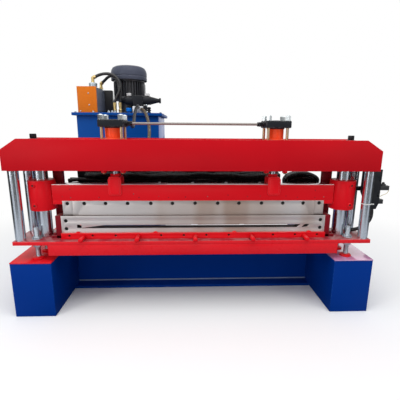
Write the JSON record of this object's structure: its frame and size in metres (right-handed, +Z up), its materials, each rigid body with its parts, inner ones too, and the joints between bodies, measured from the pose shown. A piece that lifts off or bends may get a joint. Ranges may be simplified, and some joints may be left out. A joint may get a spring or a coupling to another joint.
{
  "type": "roll forming machine cut-off press with hydraulic power unit",
  "caption": "Hydraulic cut-off press of a sheet roll forming machine: blade beam on guide pillars between slotted dies, on a blue steel base, with its power unit behind.",
  "frame": {"origin": "on the floor, at the middle of the underside of the base's cross beam", "axes": "+X to the operator's right along the blade, +Y away from the operator, +Z up"},
  "size_m": [1.9, 1.505, 1.38],
  "materials": {
    "red_paint": "glossy sprayed enamel",
    "dark_red_paint": "glossy sprayed enamel",
    "blue_paint": "glossy sprayed enamel",
    "tank_blue": "satin powder coat",
    "orange_paint": "satin enamel",
    "cylinder_paint": "glossy enamel",
    "hard_chrome": "polished",
    "ground_steel": "surface ground",
    "zinc_steel": "galvanised",
    "yellow_zinc": "yellow chromated zinc",
    "black_steel": "black oxide",
    "black_plastic": "moulded",
    "black_rubber": "smooth hose cover",
    "tan_rubber": "ribbed hose cover",
    "motor_grey": "hammered enamel",
    "motor_black": "painted casting",
    "brass_fittings": "machined",
    "manifold_steel": "machined"
  },
  "bodies": {
    "frame": {"pedestal_left": "blue_paint", "pedestal_right": "blue_paint", "pedestal_tops": "red_paint", "cross_beam": "blue_paint", "base_plate": "red_paint", "jack_bolts": "zinc_steel", "jack_pads": "red_paint", "corner_posts": "hard_chrome", "guide_pillars": "hard_chrome", "top_beam": "red_paint", "pillar_bolts": "black_steel", "front_die": "ground_steel", "rear_die": "ground_steel", "die_spacer": "ground_steel", "front_die_holder": "red_paint", "rear_die_holder": "red_paint", "stop_bars": "red_paint", "die_brackets": "dark_red_paint", "rear_uprights": "dark_red_paint", "cylinder_left": "cylinder_paint", "cylinder_right": "cylinder_paint", "tie_rods": "yellow_zinc", "link_pipe": "zinc_steel", "switch_plate": "black_steel", "limit_switches": "black_plastic", "hose_tray": "black_steel", "hose_bundle": "black_rubber", "tank_feet": "tank_blue", "oil_tank": "tank_blue", "tank_lid": "tank_blue", "oil_cooler": "orange_paint", "cooler_fan": "black_plastic", "pump_motor": "motor_black", "motor_fan_cover": "motor_grey", "valve_block": "manifold_steel", "hose_fittings": "brass_fittings", "cylinder_hose": "black_rubber", "return_hose": "tan_rubber", "cooler_hose": "black_rubber", "cooler_return_hose": "black_rubber", "switch_conduit": "black_rubber"},
    "blade_carriage": {"blade_beam": "red_paint", "guide_sleeves": "red_paint", "moving_blade": "ground_steel", "blade_shoes": "ground_steel", "clevises": "red_paint", "piston_rods": "hard_chrome", "trip_arm": "black_steel"}
  },
  "joints": [
    {"name": "blade_slide", "type": "slide", "parent": "frame", "child": "blade_carriage", "axis": [0, 0, -1], "range_m": [0, 0.046]}
  ]
}
